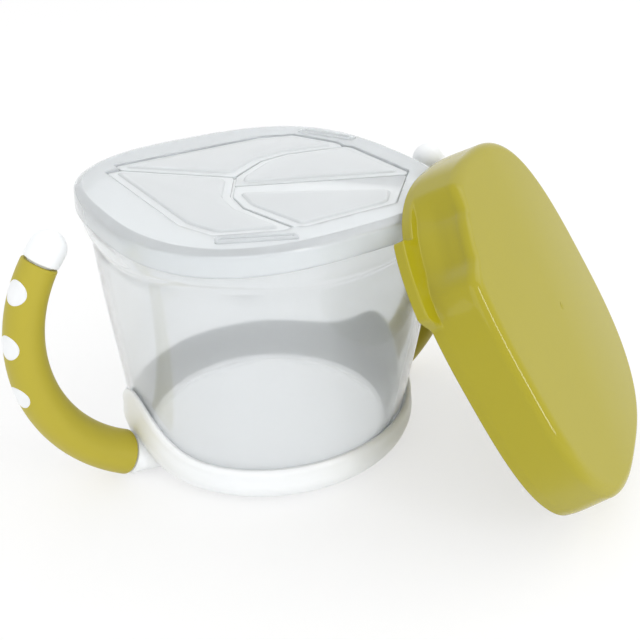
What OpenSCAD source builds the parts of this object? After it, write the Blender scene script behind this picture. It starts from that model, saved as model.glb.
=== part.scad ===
// Toddler snack container with two handles, a four-flap lid and a cover
// that leans beside it. Millimetres, +Z up. The origin is the middle of the
// cup's base on the table, and the two handles lie along X.

/* [Cup] */
// Half width of the cup wall just above the handle ring
wall_low = 43.4; // [38:0.1:46]
// Half width of the cup wall under the collar
wall_high = 46.2; // [45.6:0.1:46.6]
// Radius of the round foot that the cup stands on
foot_r = 37.8; // [34:0.1:38.6]
// Height over which the foot curves out to the wall
foot_h = 11; // [8:0.1:12.5]
// Thickness of the cup wall
cup_wall = 1.6; // [1.2:0.1:2.4]
// Thickness of the cup floor
cup_floor = 2.2; // [1.6:0.1:4]
// Height of the cup's rim above the table
cup_h = 81.1; // [70:0.1:95]
// How rounded-square the top is (2 is a circle)
top_square = 2.78; // [2.4:0.01:3.2]

/* [Collar] */
// Half width of the visible collar under the lid
collar_w = 47.9; // [47.3:0.1:48.2]
// Height of the shoulder that the lid's skirt stops above, below the rim
shoulder_drop = 4.9; // [4.4:0.1:7]
// Mean height of the collar's lower edge, below the rim
collar_drop = 8.6; // [8:0.1:11]
// How far the collar's lower edge rises at the corners and falls at the sides
collar_wave = 1.8; // [0:0.1:2]
// Height of the slope from the wall out to the collar
collar_slope = 2.2; // [1.5:0.1:4]

/* [Lid] */
// Thickness of the lid's top
lid_t = 1.6; // [1.4:0.1:2.2]
// Thickness of the lid's skirt
lid_wall = 1.2; // [1:0.1:1.6]
// Width of the sloped edge round the lid's top
lid_bevel = 2.3; // [1.5:0.1:3]
// Height of the sloped edge
lid_bevel_h = 1.1; // [0.6:0.1:1.3]
// Clear gap between parts that are fitted over each other
fit = 0.3; // [0.25:0.01:0.4]

/* [Flaps] */
// Distance from the centre to the hinge line of the two large flaps
large_hinge = 34.5; // [33:0.1:36]
// Distance from the centre to the hinge line of the two small flaps
small_hinge = 38.6; // [37.5:0.1:39.2]
// Width of the slits between the flaps
slit = 0.7; // [0.5:0.05:1.2]
// Width of the plain margin round each flap's raised panel
panel_margin = 2.2; // [1.5:0.1:3]
// How far each panel stands above its margin
panel_h = 0.6; // [0.3:0.05:0.8]

/* [Handles] */
// Radius of the handle's arc, at the middle of the grip
handle_r = 46.2; // [40:0.1:48]
// Distance from the cup's lower wall out to the middle of the grip
handle_out = 29.5; // [26:0.1:33]
// Height of the centre of the arc
handle_cz = 47.1; // [45.5:0.1:54]
// Half thickness of the grip at its lower end, in the plane of the arc
grip_low = 6.4; // [5:0.1:7]
// Half thickness of the grip at its upper end, in the plane of the arc
grip_high = 4.9; // [4.2:0.1:5.6]
// How much wider than thick the grip is at its lower end
grip_flat = 1.2; // [1:0.01:1.35]
// Thickness of the soft sleeve
sleeve_t = 1.5; // [1:0.1:2]
// Diameter of the round dots that show through the sleeve
dot_d = 7.4; // [4:0.1:8]
// Number of dots on each grip
dots = 3; // [1:1:4]

/* [Handle ring] */
// Height of the ring's upper edge away from the handles
ring_h = 13; // [10:0.1:16]
// How much higher the ring rises beside each handle
ring_rise = 13; // [6:0.1:15]
// How far the ring stands out from the cup's lower wall
ring_out = 2.8; // [2.2:0.1:4]
// Gap under the ring, so that the cup's foot carries the weight
ring_lift = 0.8; // [0.4:0.1:1.6]

/* [Cover] */
// Depth of the cover from its open edge to its flat top
cover_h = 15.5; // [14:0.1:22]
// Wall of the cover
cover_wall = 1.7; // [1.2:0.1:2.2]
// How far the cover's skirt tapers in towards its top
cover_taper = 1.1; // [0.4:0.1:1.6]
// Rounding between the cover's skirt and its top
cover_round = 3.4; // [2.6:0.1:4.5]
// Depth of the thumb scoop in one corner
scoop = 4.6; // [0:0.1:6]
// How far the lifting lip stands out under the scoop
lip = 5; // [1:0.1:6]
// Thickness of the lifting lip
lip_t = 2.9; // [1.6:0.1:3.5]
// Direction in which the leaning cover's top faces
lean_dir = -52; // [-54:0.1:-50]
// Turn of the cover about its own middle
lean_spin = -5.8; // [-8:0.1:-4]
// How far the cover's upper edge reaches in over the edge of the lid
lean_over = 7.7; // [4:0.1:8]
// How far the cover sits to one side of the line through the cup's middle
lean_side = 7; // [0:0.1:9]

/* [Hidden] */
SIDES = 60;
COVER_SIDES = 80;
GRIP_SIDES = 16;
ARC_STEPS = 12;

lid_z = cup_h + fit;
lid_top = lid_z + lid_t;
skirt_z = cup_h - shoulder_drop + fit;
rim_w = collar_w - 0.6;
lid_foot = 0.3;
lid_in = rim_w + fit;
lid_out = lid_in + lid_wall;
plate_top = lid_top - panel_h;
cover_in = lid_out + lid_foot + fit;
cover_out = cover_in + cover_wall;
round_n = 2;

// Outlines and lofts

// Distance from the middle to a rounded square of half width w at angle a
function reach(w, n, a) =
    w / pow(pow(abs(cos(a)), n) + pow(abs(sin(a)), n), 1 / n);

// How far a rounded square reaches in the direction a
function support(w, n, a) =
    let (m = n / (n - 1))
    w * pow(pow(abs(cos(a)), m) + pow(abs(sin(a)), m), 1 / m);

// Smooth 0 to 1 step and smooth bump that is 1 at the middle
function ease(t) = let (c = min(1, max(0, t))) c * c * (3 - 2 * c);
function bump(d, wide) = exp(-pow(d / wide, 2));
function turn(a) = abs(a) > 180 ? turn(abs(a) - 360) : abs(a);

// One level of a loft: half width, squareness, height, rise at the sides
function level(w, n, z, wave = 0) =
    [for (i = [0 : SIDES - 1]) let (a = 360 * i / SIDES, r = reach(w, n, a))
        [r * cos(a), r * sin(a), z - wave * cos(4 * a)]];

// Solid skinned over a list of levels, each with the same number of points
module skin(levels, closed = false) {
    k = len(levels[0]);
    m = len(levels);
    spans = closed ? m : m - 1;
    sides = [for (j = [0 : spans - 1], i = [0 : k - 1])
        let (a = j * k + i, b = j * k + (i + 1) % k,
             c = ((j + 1) % m) * k + (i + 1) % k, d = ((j + 1) % m) * k + i)
        each [[a, d, c], [a, c, b]]];
    caps = closed ? [] : [
        [for (i = [0 : k - 1]) i],
        [for (i = [0 : k - 1]) m * k - 1 - i]
    ];
    polyhedron([for (l = levels) each l], concat(sides, caps), convexity = 8);
}

// Cup

// Squareness and half width of the outside at height z: a round foot that
// curves out to the wall, which turns into a rounded square as it rises
wall_z0 = ring_h;
wall_z1 = cup_h - collar_drop - collar_slope;
function wall_n(z) =
    round_n + (top_square - round_n) * pow(ease((z - wall_z0 / 2) / (wall_z1 * 0.75)), 0.8);
function wall_w(z) =
    z < foot_h ? wall_low - (wall_low - foot_r) * pow(1 - z / foot_h, 2)
               : wall_low + (wall_high - wall_low) * pow(max(0, (z - wall_z0) / (wall_z1 - wall_z0)), 1.15);

foot_levels = [0, 0.1, 0.25, 0.45, 0.7, 1];
wall_steps = 8;
wall_levels = [for (i = [1 : wall_steps]) foot_h + (wall_z1 - foot_h) * pow(i / wall_steps, 1.25)];

module cup() {
    outer_foot = [for (t = foot_levels) level(wall_w(t * foot_h), wall_n(t * foot_h), t * foot_h)];
    outer_wall = [for (z = wall_levels) level(wall_w(z), wall_n(z), z, z == wall_z1 ? collar_wave : 0)];
    collar = [
        level(collar_w, top_square, wall_z1 + collar_slope, collar_wave),
        level(collar_w, top_square, cup_h - shoulder_drop),
        level(rim_w, top_square, cup_h - shoulder_drop),
        level(rim_w, top_square, cup_h - 0.4),
        level(rim_w - 0.4, top_square, cup_h),
        level(rim_w - cup_wall, top_square, cup_h)
    ];
    inner = [
        level(rim_w - cup_wall, top_square, wall_z1 + collar_slope),
        for (i = [wall_steps - 2 : -2 : 0]) let (z = wall_levels[i])
            level(wall_w(z) - cup_wall, wall_n(z), z)
    ];
    inner_foot = [for (t = [1, 0.65, 0.35, 0.12, 0])
        level(wall_w(t * foot_h) - cup_wall - cup_floor * (1 - t), round_n,
              cup_floor + t * (foot_h - cup_floor))];
    color("aliceblue", 0.35)
        skin(concat(outer_foot, outer_wall, collar, inner, inner_foot));
}

// Handle ring with its two handle cores

// Side of the ring: share of its height, and radius at that share
ring_gap = 0.4;
ring_inner = wall_low + ring_gap;
ring_bulge = wall_low + ring_out;
ring_toe = 2.6;
ring_lip = 0.9;
ring_steps = [
    [0, foot_r + ring_toe], [0.1, foot_r + ring_toe * 1.7], [0.24, ring_bulge - ring_out * 0.54],
    [0.42, ring_bulge - ring_out * 0.11], [0.6, ring_bulge], [0.8, ring_bulge - ring_out * 0.21],
    [0.94, ring_inner + ring_lip * 1.67], [1, ring_inner + ring_lip]
];
function ring_top(a) =
    ring_h + ring_rise * (bump(turn(a), 20) + bump(turn(a - 180), 20));
function ring_z(a, t) = ring_lift + (ring_top(a) - ring_lift) * t;
// How far the cup's wall stands out from a plain circle at height z, angle a
function wall_swell(z, a) = reach(wall_w(z), wall_n(z), a) - wall_low;

module ring_band() {
    outer = [for (s = ring_steps)
        [for (i = [0 : SIDES - 1])
            let (a = 360 * i / SIDES, z = ring_z(a, s[0]), r = s[1] + max(0, wall_swell(z, a)))
            [r * cos(a), r * sin(a), z]]];
    inner = [for (t = [1, 0.7, 0.45, 0.28, 0.14, 0])
        [for (i = [0 : SIDES - 1])
            let (a = 360 * i / SIDES, z = ring_z(a, t), r = ring_inner + wall_swell(z, a))
            [r * cos(a), r * sin(a), z]]];
    skin(concat(outer, inner), closed = true);
}

// Handle arc: share 0 is the lower end of the grip and share 1 the tip
low_angle = -60;
high_angle = 39.5;
sleeve_from = 0;
sleeve_to = 0.945;
handle_cx = wall_low + handle_out - handle_r;
function arc_angle(s) = low_angle + (high_angle - low_angle) * s;
function arc_point(s) =
    let (a = arc_angle(s)) [handle_cx + handle_r * cos(a), 0, handle_cz + handle_r * sin(a)];
function grip_thick(s) = grip_low + (grip_high - grip_low) * s;
function grip_wide(s) = grip_thick(s) * (grip_flat + (1 - grip_flat) * s);

// Oval section at point p, square to the direction at angle a - 90
function oval(p, a, thick, wide) =
    [for (i = [0 : GRIP_SIDES - 1]) let (t = 360 * i / GRIP_SIDES)
        [p[0] + thick * cos(t) * cos(a), p[1] + wide * sin(t), p[2] + thick * cos(t) * sin(a)]];
function section(s, inset) =
    oval(arc_point(s), arc_angle(s), grip_thick(s) - inset, grip_wide(s) - inset);

// Point of the handle's root on the ring: an oval, drawn in to the share k,
// that follows the ring's side just outside its inner face
function root_point(t, k = 1) =
    let (high = ring_top(0) - root_drop,
         z = (root_low + high) / 2 - k * (high - root_low) / 2 * cos(t),
         y = k * (grip_wide(0) + root_flare) * sin(t),
         r = ring_inner + wall_swell(z, 0) + root_inset)
    [sqrt(r * r - y * y), y, z];
// The root narrows fast beside the ring, so that it meets it in a hollow curve
function root_section(f) =
    let (neck = section(sleeve_from - 0.03, core_step), g = 1 - pow(1 - f, 2.4))
    [for (i = [0 : GRIP_SIDES - 1])
        let (a = root_point(360 * i / GRIP_SIDES), b = neck[i])
        [a[0] + (b[0] - a[0]) * f, a[1] + (b[1] - a[1]) * g, a[2] + (b[2] - a[2]) * g]];

// The white core is full size at the root and tip and thinner in the sleeve
module handle_core() {
    inside = [for (k = [0.15, 0.5, 0.8])
        [for (i = [0 : GRIP_SIDES - 1]) root_point(360 * i / GRIP_SIDES, k)]];
    root = [for (f = [0, 0.15, 0.35, 0.65]) root_section(f)];
    neck = [section(sleeve_from - 0.03, core_step), section(sleeve_from - 0.008, core_step),
            section(sleeve_from - 0.006, sleeve_t)];
    under = [for (i = [1 : ARC_STEPS - 1])
        section(sleeve_from + (sleeve_to - sleeve_from) * i / ARC_STEPS, sleeve_t)];
    tip = [section(sleeve_to + 0.006, sleeve_t), section(sleeve_to + 0.008, core_step)];
    ball = grip_high;
    dome = [for (t = [0, 25, 48, 68, 84])
        let (p = arc_point(1), a = high_angle, d = [-sin(a), 0, cos(a)] * ball * sin(t))
        oval(p + d, a, ball * cos(t), ball * cos(t))];
    skin(concat(inside, root, neck, under, tip, dome));
    intersection() {
        dot_places() cylinder(d = dot_d - 2 * dot_fit, h = 2 * dot_reach(), $fn = 18);
        sleeve_skin(-dot_proud);
    }
}

root_flare = 6;
root_inset = 0.7;
root_low = 1.3;
root_drop = 7;
core_step = 0.5;
dot_fit = 0.12;
dot_proud = 0.15;
tilt_angle = 20;
function dot_share(i) = 0.844 - 0.1735 * i;
function dot_reach() = grip_low * 1.02;

// Puts children on each dot's axis, which starts at the middle of the grip
module dot_places() {
    for (i = [0 : dots - 1]) {
        s = dot_share(i);
        translate(arc_point(s))
            rotate([0, 90 - arc_angle(s), 0])
                rotate([tilt_angle, 0, 0])
                    children();
    }
}

// Outer skin of the soft sleeve, also used to trim the dots flush
module sleeve_skin(inset) {
    skin([for (i = [0 : ARC_STEPS]) section(sleeve_from + (sleeve_to - sleeve_from) * i / ARC_STEPS, inset)]);
}

module handle_ring() {
    color("white") {
        ring_band();
        handle_core();
        mirror([1, 0, 0]) handle_core();
    }
}

module grip() {
    outer = [for (i = [0 : ARC_STEPS]) section(sleeve_from + (sleeve_to - sleeve_from) * i / ARC_STEPS, 0)];
    inner = [for (i = [ARC_STEPS : -1 : 0])
        section(sleeve_from + (sleeve_to - sleeve_from) * i / ARC_STEPS, sleeve_t - dot_fit)];
    color("yellowgreen")
        difference() {
            skin(concat(outer, inner), closed = true);
            dot_places() cylinder(d = dot_d, h = 2 * dot_reach(), $fn = 18);
        }
}

module right_grip() { grip(); }
module left_grip() { mirror([1, 0, 0]) grip(); }

// Lid and flaps

// Corners of the flaps. The two large flaps mirror each other across the
// diagonal from the back left corner. The slit between the small ones runs
// from the middle to the right flap's hinge.
hub = [-5, 5];
bend_in = [-13.2, -8.2];
bend_out = [-14.8, -17.5];
slit_end = [-10.8, -37];
slot_in = [-14.4, -37.6];
slot_out = [-30.4, -30.6];
small_corner = [20, -small_hinge];
fork = (hub + bend_in) / 2;
fork_end = [small_hinge - 1.8, small_corner[1] + 16.8];
function across(p) = [-p[1], -p[0]];

left_outline = [
    [-large_hinge, large_hinge - 4.6], [-large_hinge, -19.5], slot_out, slot_in,
    slit_end, bend_out, bend_in, hub, [-large_hinge + 4.6, large_hinge - 4.6]
];
function mirrored(pts) = [for (i = [len(pts) - 1 : -1 : 0]) across(pts[i])];
spine = [bend_in, bend_out, slit_end];
front_start = [slit_end[0] + 2.4, -small_hinge];
front_outline = concat([front_start, small_corner, fork_end, fork], spine);
right_outline = concat(
    [hub, fork, fork_end], mirrored([front_start, small_corner]), mirrored(spine)
);
outlines = [left_outline, front_outline, mirrored(left_outline), right_outline];
// The front flap's panel stops short of the fork, and the others fill their flaps
front_panel = concat([front_start, small_corner, [28.9, -29], [-10.8, -4.4]], spine);

// An outline drawn in by d, with its corners rounded
module drawn_in(pts, d, r = 0.8) {
    offset(r = r, $fn = 24) offset(delta = -d - r) polygon(pts);
}

module flap(pts, panel) {
    color("lightcyan", 0.5) {
        translate([0, 0, lid_z])
            linear_extrude(plate_top - lid_z) drawn_in(pts, slit / 2);
        translate([0, 0, plate_top - 0.1])
            linear_extrude(panel_h + 0.1) drawn_in(panel, slit / 2 + panel_margin, 1.6);
    }
}

module left_flap() { flap(outlines[0], outlines[0]); }
module front_flap() { flap(outlines[1], front_panel); }
module back_flap() { flap(outlines[2], outlines[2]); }
module right_flap() { flap(outlines[3], outlines[3]); }

// Low pad on the rim outside a large flap's free corner
module rim_pad() {
    along = (slot_in - slot_out) / norm(slot_in - slot_out);
    out = [along[1], -along[0]];
    last = slot_in + along * 3;
    pts = [slot_out + out * 1.6, last + out * 2.6, last + out * 6.6, slot_out + out * 6];
    translate([0, 0, lid_top - 0.1])
        linear_extrude(0.5) offset(r = 1, $fn = 24) offset(delta = -1) polygon(pts);
}

module lid_frame() {
    shell = [
        level(lid_in, top_square, lid_z),
        level(lid_in, top_square, skirt_z),
        level(lid_out + lid_foot, top_square, skirt_z),
        level(lid_out, top_square, lid_top - lid_bevel_h - 0.7),
        level(lid_out - 0.25, top_square, lid_top - lid_bevel_h),
        level(lid_out - lid_bevel, top_square, lid_top)
    ];
    color("lightcyan", 0.5) {
        difference() {
            skin(shell);
            translate([0, 0, lid_z - 1])
                linear_extrude(lid_t + 2)
                    for (pts = outlines) offset(delta = 0.05) polygon(pts);
        }
        rim_pad();
        mirror([1, 1, 0]) rim_pad();
    }
}

// Cover

scoop_at = 224.5;
scoop_half = 17;
scoop_flank = 10;
lip_at = 236;
lip_half = 12.5;
lip_end = 3.5;
function scoop_share(a) = ease((scoop_half - turn(a - scoop_at)) / scoop_flank);
function lip_share(a) = ease((lip_half - turn(a - lip_at)) / lip_end);
// Angles of a level's points, close together from the scoop to the lip
FINE = 24;
fine_from = 205;
fine_step = 1.9;
fine_to = fine_from + fine_step * (FINE - 1);
cover_angles = [for (i = [0 : COVER_SIDES - 1])
    i < FINE ? fine_from + fine_step * i
             : fine_to + (360 + fine_from - fine_to) * (i - FINE + 1) / (COVER_SIDES - FINE + 1)];
function cover_level(w, z, dent, out) =
    [for (a = cover_angles)
        let (r = reach(w, top_square, a) - dent * scoop_share(a) + out * lip_share(a))
        [r * cos(a), r * sin(a), z]];

// The cover in its own place: open edge down on the plane z = 0
module cover_shape() {
    w0 = cover_out;
    w1 = cover_out - cover_taper;
    edge = cover_h - cover_round;
    skirt = [
        cover_level(w0 - 0.3, 0, 0, lip),
        cover_level(w0, cover_chamfer, 0, lip + 0.2),
        cover_level(w0, lip_t, 0, lip),
        cover_level(w0 - 0.05, lip_t + 0.4, scoop * 0.5, 0),
        cover_level(w0 - cover_taper * 0.5, (lip_t + edge) / 2, scoop, 0),
        for (t = [0, 30, 60, 90])
            cover_level(w1 - cover_round * (1 - cos(t)), edge + cover_round * sin(t), scoop * (1 - 0.35 * t / 90), 0)
    ];
    inner_round = cover_round - cover_wall / 2;
    top_in = cover_h - cover_wall;
    inside = [
        for (t = [90, 45, 0])
            cover_level(w1 - cover_wall - inner_round * (1 - cos(t)), top_in - inner_round * (1 - sin(t)), scoop * 0.9, 0),
        cover_level(w0 - cover_wall - 0.1, lip_t + 0.4, scoop * 0.5, 0),
        cover_level(w0 - cover_wall, lip_t - 0.6, 0, 0),
        cover_level(w0 - cover_wall, 0, 0, 0)
    ];
    skin(concat(inside, skirt));
}

// The cover stands on its lowest edge and its highest edge lies on the lid
cover_chamfer = 0.4;
lean_low = support(cover_out, top_square, lean_spin);
lean_high = support(cover_in, top_square, lean_spin);
lean_rest = 1.6;
lean = asin((lid_top + lean_rest) / (lean_low + lean_high));
lean_out = support(lid_out, top_square, lean_dir) - lean_over + lean_high * cos(lean);

module cover() {
    low = lean_low * sin(lean) - cover_chamfer * cos(lean);
    color("olivedrab")
        rotate([0, 0, lean_dir])
            translate([lean_out, lean_side, low + fit])
                rotate([0, lean, 0])
                    rotate([0, 0, lean_spin])
                        cover_shape();
}

cup();
handle_ring();
left_grip();
right_grip();
lid_frame();
left_flap();
back_flap();
right_flap();
front_flap();
cover();
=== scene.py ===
"""Toddler snack container: a clear cup with two soft grips, a lid with four
bending flaps and a cover leaning beside it. Lengths are in metres."""

import math

import bmesh
import bpy
import numpy as np
from bpy.props import FloatProperty, FloatVectorProperty, IntProperty, PointerProperty
from bpy.types import Operator, Panel, PropertyGroup
from mathutils import Matrix, Vector
from mathutils.bvhtree import BVHTree


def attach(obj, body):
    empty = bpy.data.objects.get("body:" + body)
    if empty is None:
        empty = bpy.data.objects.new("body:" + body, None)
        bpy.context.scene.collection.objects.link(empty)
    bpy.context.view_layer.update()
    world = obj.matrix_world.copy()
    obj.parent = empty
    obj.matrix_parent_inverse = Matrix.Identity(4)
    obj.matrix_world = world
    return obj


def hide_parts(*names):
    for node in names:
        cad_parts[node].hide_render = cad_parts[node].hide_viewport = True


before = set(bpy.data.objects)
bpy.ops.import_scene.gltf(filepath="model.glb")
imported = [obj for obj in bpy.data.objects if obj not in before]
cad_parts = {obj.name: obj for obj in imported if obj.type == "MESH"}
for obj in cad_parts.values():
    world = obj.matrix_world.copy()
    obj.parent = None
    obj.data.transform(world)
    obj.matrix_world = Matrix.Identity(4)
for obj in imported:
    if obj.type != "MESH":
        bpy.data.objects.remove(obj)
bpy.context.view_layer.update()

bl_info = {
    "name": "Toddler snack container",
    "version": (1, 0, 0),
    "blender": (4, 5, 0),
    "location": "View3D > Sidebar > Snack container",
    "description": "Builds the cup, its handles, its lid with flaps and its cover",
    "category": "Add Mesh",
}

TURN = 2 * math.pi


def length(text, value, name=None):
    """A length that the sidebar shows in scene units."""
    return FloatProperty(
        name=name or text, description=text, default=value, unit="LENGTH", subtype="DISTANCE", precision=5
    )


def colour(text, value):
    """A linear colour."""
    return FloatVectorProperty(
        name=text, description=text, default=value, size=3, min=0, max=1, subtype="COLOR"
    )


class CupSizes(PropertyGroup):
    """Sizes of the cup and its collar"""

    wall_low: length("Half width of the wall above the handle ring", 0.0434)
    wall_high: length("Half width of the wall under the collar", 0.0462)
    foot_r: length("Radius of the round foot", 0.0378)
    foot_h: length("Height over which the foot curves out", 0.011)
    wall: length("Thickness of the wall", 0.0016)
    floor: length("Thickness of the floor", 0.0022)
    height: length("Height of the rim above the table", 0.0811)
    collar_w: length("Half width of the collar", 0.0479)
    shoulder_drop: length("Depth of the shoulder below the rim", 0.0049)
    collar_drop: length("Mean depth of the collar's lower edge", 0.0086)
    collar_wave: length("Rise and fall of the collar's lower edge", 0.0018)
    collar_slope: length("Height of the slope out to the collar", 0.0022)
    square: FloatProperty(
        name="Squareness", description="How rounded-square the top is, where 2 is a circle", default=2.78
    )


class LidSizes(PropertyGroup):
    """Sizes of the lid and its flaps"""

    top: length("Thickness of the lid's top", 0.0016)
    wall: length("Thickness of the skirt", 0.0012)
    bevel: length("Width of the sloped edge", 0.0023)
    bevel_h: length("Height of the sloped edge", 0.0011)
    fit: length("Clear gap over the cup's rim", 0.0003)
    foot: length("How far the skirt's lower edge stands out", 0.0003)
    large_hinge: length("Distance of the large flaps' hinge lines", 0.0345)
    small_hinge: length("Distance of the small flaps' hinge lines", 0.0386)
    slit: length("Width of the slits", 0.0007)
    margin: length("Width of the margin round each panel", 0.0022)
    panel_h: length("Height of each panel", 0.0006)


class HandleSizes(PropertyGroup):
    """Sizes of the handle ring, its cores and the grips"""

    arc_r: length("Radius of the handle's arc", 0.0462)
    out: length("Distance from the cup's wall to the middle of the grip", 0.0295)
    arc_z: length("Height of the arc's centre", 0.0471)
    grip_low: length("Half thickness of the grip at its lower end", 0.0064)
    grip_high: length("Half thickness of the grip at its upper end", 0.0049)
    sleeve: length("Thickness of the soft sleeve", 0.0015)
    dot_d: length("Diameter of the dots", 0.0074)
    ring_h: length("Height of the ring away from the handles", 0.013)
    ring_rise: length("Extra height of the ring beside each handle", 0.013)
    ring_out: length("How far the ring stands out from the wall", 0.0028)
    ring_lift: length("Gap under the ring", 0.0008)
    ring_gap: length("Clear gap between the ring and the cup", 0.0004)
    dots: IntProperty(name="Dots", description="Number of dots on each grip", default=3, min=1, max=4)
    flat: FloatProperty(
        name="Oval", description="How much wider than thick the grip is low down", default=1.2
    )


class CoverSizes(PropertyGroup):
    """Sizes of the cover and how it leans"""

    depth: length("Depth of the cover", 0.0155)
    wall: length("Wall of the cover", 0.0017)
    taper: length("How far the skirt tapers in", 0.0011)
    rounding: length("Rounding between skirt and top", 0.0034)
    scoop: length("Depth of the thumb scoop", 0.0046)
    lip: length("How far the lifting lip stands out", 0.005)
    lip_t: length("Thickness of the lifting lip", 0.0029)
    over: length("How far the upper edge reaches in over the lid", 0.0077)
    side: length("Sideways place of the cover", 0.007)
    rest: length("Height of the upper edge above the lid", 0.0016)
    face: FloatProperty(
        name="Facing", description="Direction in which the top faces",
        default=math.radians(-52), subtype="ANGLE",
    )
    spin: FloatProperty(
        name="Turn", description="Turn about its own middle",
        default=math.radians(-5.8), subtype="ANGLE",
    )


class Finishes(PropertyGroup):
    """Colours of the finishes"""

    clear: colour("Clear plastic of the cup", (0.965, 0.985, 1.0))
    lid: colour("Clear plastic of the lid", (0.95, 0.98, 1.0))
    white: colour("White plastic", (0.86, 0.88, 0.895))
    grip: colour("Soft green of the grips", (0.425, 0.358, 0.029))
    cover: colour("Glossy green of the cover", (0.34, 0.295, 0.008))


class StageSizes(PropertyGroup):
    """The camera and the lamps"""

    lens: FloatProperty(name="Lens", description="Focal length in millimetres", default=49.83)
    sky: FloatProperty(name="Room light", description="Strength of the soft room light", default=1.0)
    key: FloatProperty(name="Key lamp", description="Power of the large lamp in watts", default=0.9)
    fill: FloatProperty(name="Fill lamp", description="Power of the fill lamp in watts", default=0.5)
    edge: FloatProperty(name="Edge lamp", description="Power of the tall front lamp in watts", default=1.3)


GROUPS = {
    "snack_cup": CupSizes,
    "snack_lid": LidSizes,
    "snack_handle": HandleSizes,
    "snack_cover": CoverSizes,
    "snack_finish": Finishes,
    "snack_stage": StageSizes,
}


# Outlines and lofts


def angles(count):
    return np.arange(count) * TURN / count


def reach(w, n, a):
    """Distance to a rounded square of half width w at angle a."""
    return w / (np.abs(np.cos(a)) ** n + np.abs(np.sin(a)) ** n) ** (1 / n)


def support(w, n, a):
    """How far a rounded square reaches in the direction a."""
    m = n / (n - 1)
    return w * (abs(math.cos(a)) ** m + abs(math.sin(a)) ** m) ** (1 / m)


def ease(t):
    c = np.clip(t, 0, 1)
    return c * c * (3 - 2 * c)


def bump(d, wide):
    return np.exp(-((d / wide) ** 2))


def turned(a):
    """An angle brought into half a turn either way."""
    return (a + math.pi) % TURN - math.pi


def ring_of(r, a, z):
    return np.stack([r * np.cos(a), r * np.sin(a), z + 0 * a], axis=-1)


def level(w, n, z, count, wave=0.0):
    """One level of a loft: a rounded square at height z that rises and falls."""
    a = angles(count)
    return ring_of(reach(w, n, a), a, z - wave * np.cos(4 * a))


def soften(levels, cuts, steps=4, closed=False):
    """Rounds the corners of a loft: each level is cut back by its own length."""
    out = []
    last = len(levels) - 1
    for i, here in enumerate(levels):
        cut = cuts.get(i, 0)
        if not cut or (not closed and i in (0, last)):
            out.append(here)
            continue
        before = levels[i - 1] - here
        after = levels[(i + 1) % len(levels)] - here
        ends = []
        for way in (before, after):
            far = np.linalg.norm(way, axis=-1, keepdims=True)
            ends.append(here + way * np.minimum(cut / np.maximum(far, 1e-9), 0.45))
        for t in np.linspace(0, 1, steps + 1):
            out.append((1 - t) ** 2 * ends[0] + 2 * t * (1 - t) * here + t * t * ends[1])
    return out


def skin(levels, closed=False):
    """Vertices and faces of a solid skinned over levels of equal length."""
    k, m = len(levels[0]), len(levels)
    verts = np.concatenate(levels)
    faces = []
    for j in range(m if closed else m - 1):
        a, b = j * k, ((j + 1) % m) * k
        for i in range(k):
            h = (i + 1) % k
            faces.append((a + i, a + h, b + h, b + i))
    if not closed:
        faces.append(tuple(range(k - 1, -1, -1)))
        faces.append(tuple(range((m - 1) * k, m * k)))
    return verts, faces


def join_parts(parts):
    """One list of vertices and faces from several."""
    verts, faces, start = [], [], 0
    for v, f in parts:
        verts.append(np.asarray(v))
        faces += [tuple(i + start for i in face) for face in f]
        start += len(v)
    return np.concatenate(verts), faces


def mirrored(part):
    """The part seen in a mirror across X."""
    v, f = part
    return np.asarray(v) * [-1, 1, 1], [tuple(reversed(face)) for face in f]


def add_piece(name, part, material, body, nodes, sharp=35):
    """A mesh object with its material, riding on its body in place of its nodes."""
    verts, faces = part
    mesh = bpy.data.meshes.new(name)
    mesh.from_pydata([tuple(v) for v in verts], [], faces)
    mesh.validate()
    b = bmesh.new()
    b.from_mesh(mesh)
    bmesh.ops.recalc_face_normals(b, faces=b.faces)
    b.to_mesh(mesh)
    b.free()
    mesh.shade_smooth()
    for face in mesh.polygons:
        face.use_smooth = len(face.vertices) < 5
    mesh.set_sharp_from_angle(angle=math.radians(sharp))
    piece = bpy.data.objects.new(name, mesh)
    bpy.context.scene.collection.objects.link(piece)
    mesh.materials.append(material)
    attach(piece, body)
    if nodes:
        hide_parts(*nodes)
    return piece


# Shared effects, as shader groups with named inputs and outputs


def group_start(name, inputs, outputs):
    """An empty shader group with its sockets, and its two end nodes."""
    tree = bpy.data.node_groups.new(name, "ShaderNodeTree")
    for label, value in inputs:
        s = tree.interface.new_socket(name=label, in_out="INPUT", socket_type="NodeSocketFloat")
        s.default_value = value
    for label, kind in outputs:
        tree.interface.new_socket(name=label, in_out="OUTPUT", socket_type=kind)
    start = tree.nodes.new("NodeGroupInput")
    end = tree.nodes.new("NodeGroupOutput")
    return tree, start, end


def math_node(tree, kind, a, b):
    """A Math node whose inputs are sockets or numbers."""
    node = tree.nodes.new("ShaderNodeMath")
    node.operation = kind
    for i, value in enumerate((a, b)):
        if isinstance(value, (int, float)):
            node.inputs[i].default_value = value
        else:
            tree.links.new(value, node.inputs[i])
    return node.outputs[0]


def noise_node(tree, scale, detail=2.0, stretch=(1, 1, 1), distortion=0.0):
    """Noise over the object's own coordinates, in metres."""
    place = tree.nodes.new("ShaderNodeTexCoord")
    shape = tree.nodes.new("ShaderNodeMapping")
    shape.inputs["Scale"].default_value = stretch
    noise = tree.nodes.new("ShaderNodeTexNoise")
    noise.inputs["Detail"].default_value = detail
    noise.inputs["Distortion"].default_value = distortion
    tree.links.new(place.outputs["Object"], shape.inputs["Vector"])
    tree.links.new(shape.outputs[0], noise.inputs["Vector"])
    if isinstance(scale, (int, float)):
        noise.inputs["Scale"].default_value = scale
    else:
        tree.links.new(scale, noise.inputs["Scale"])
    return noise.outputs["Fac"]


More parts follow.
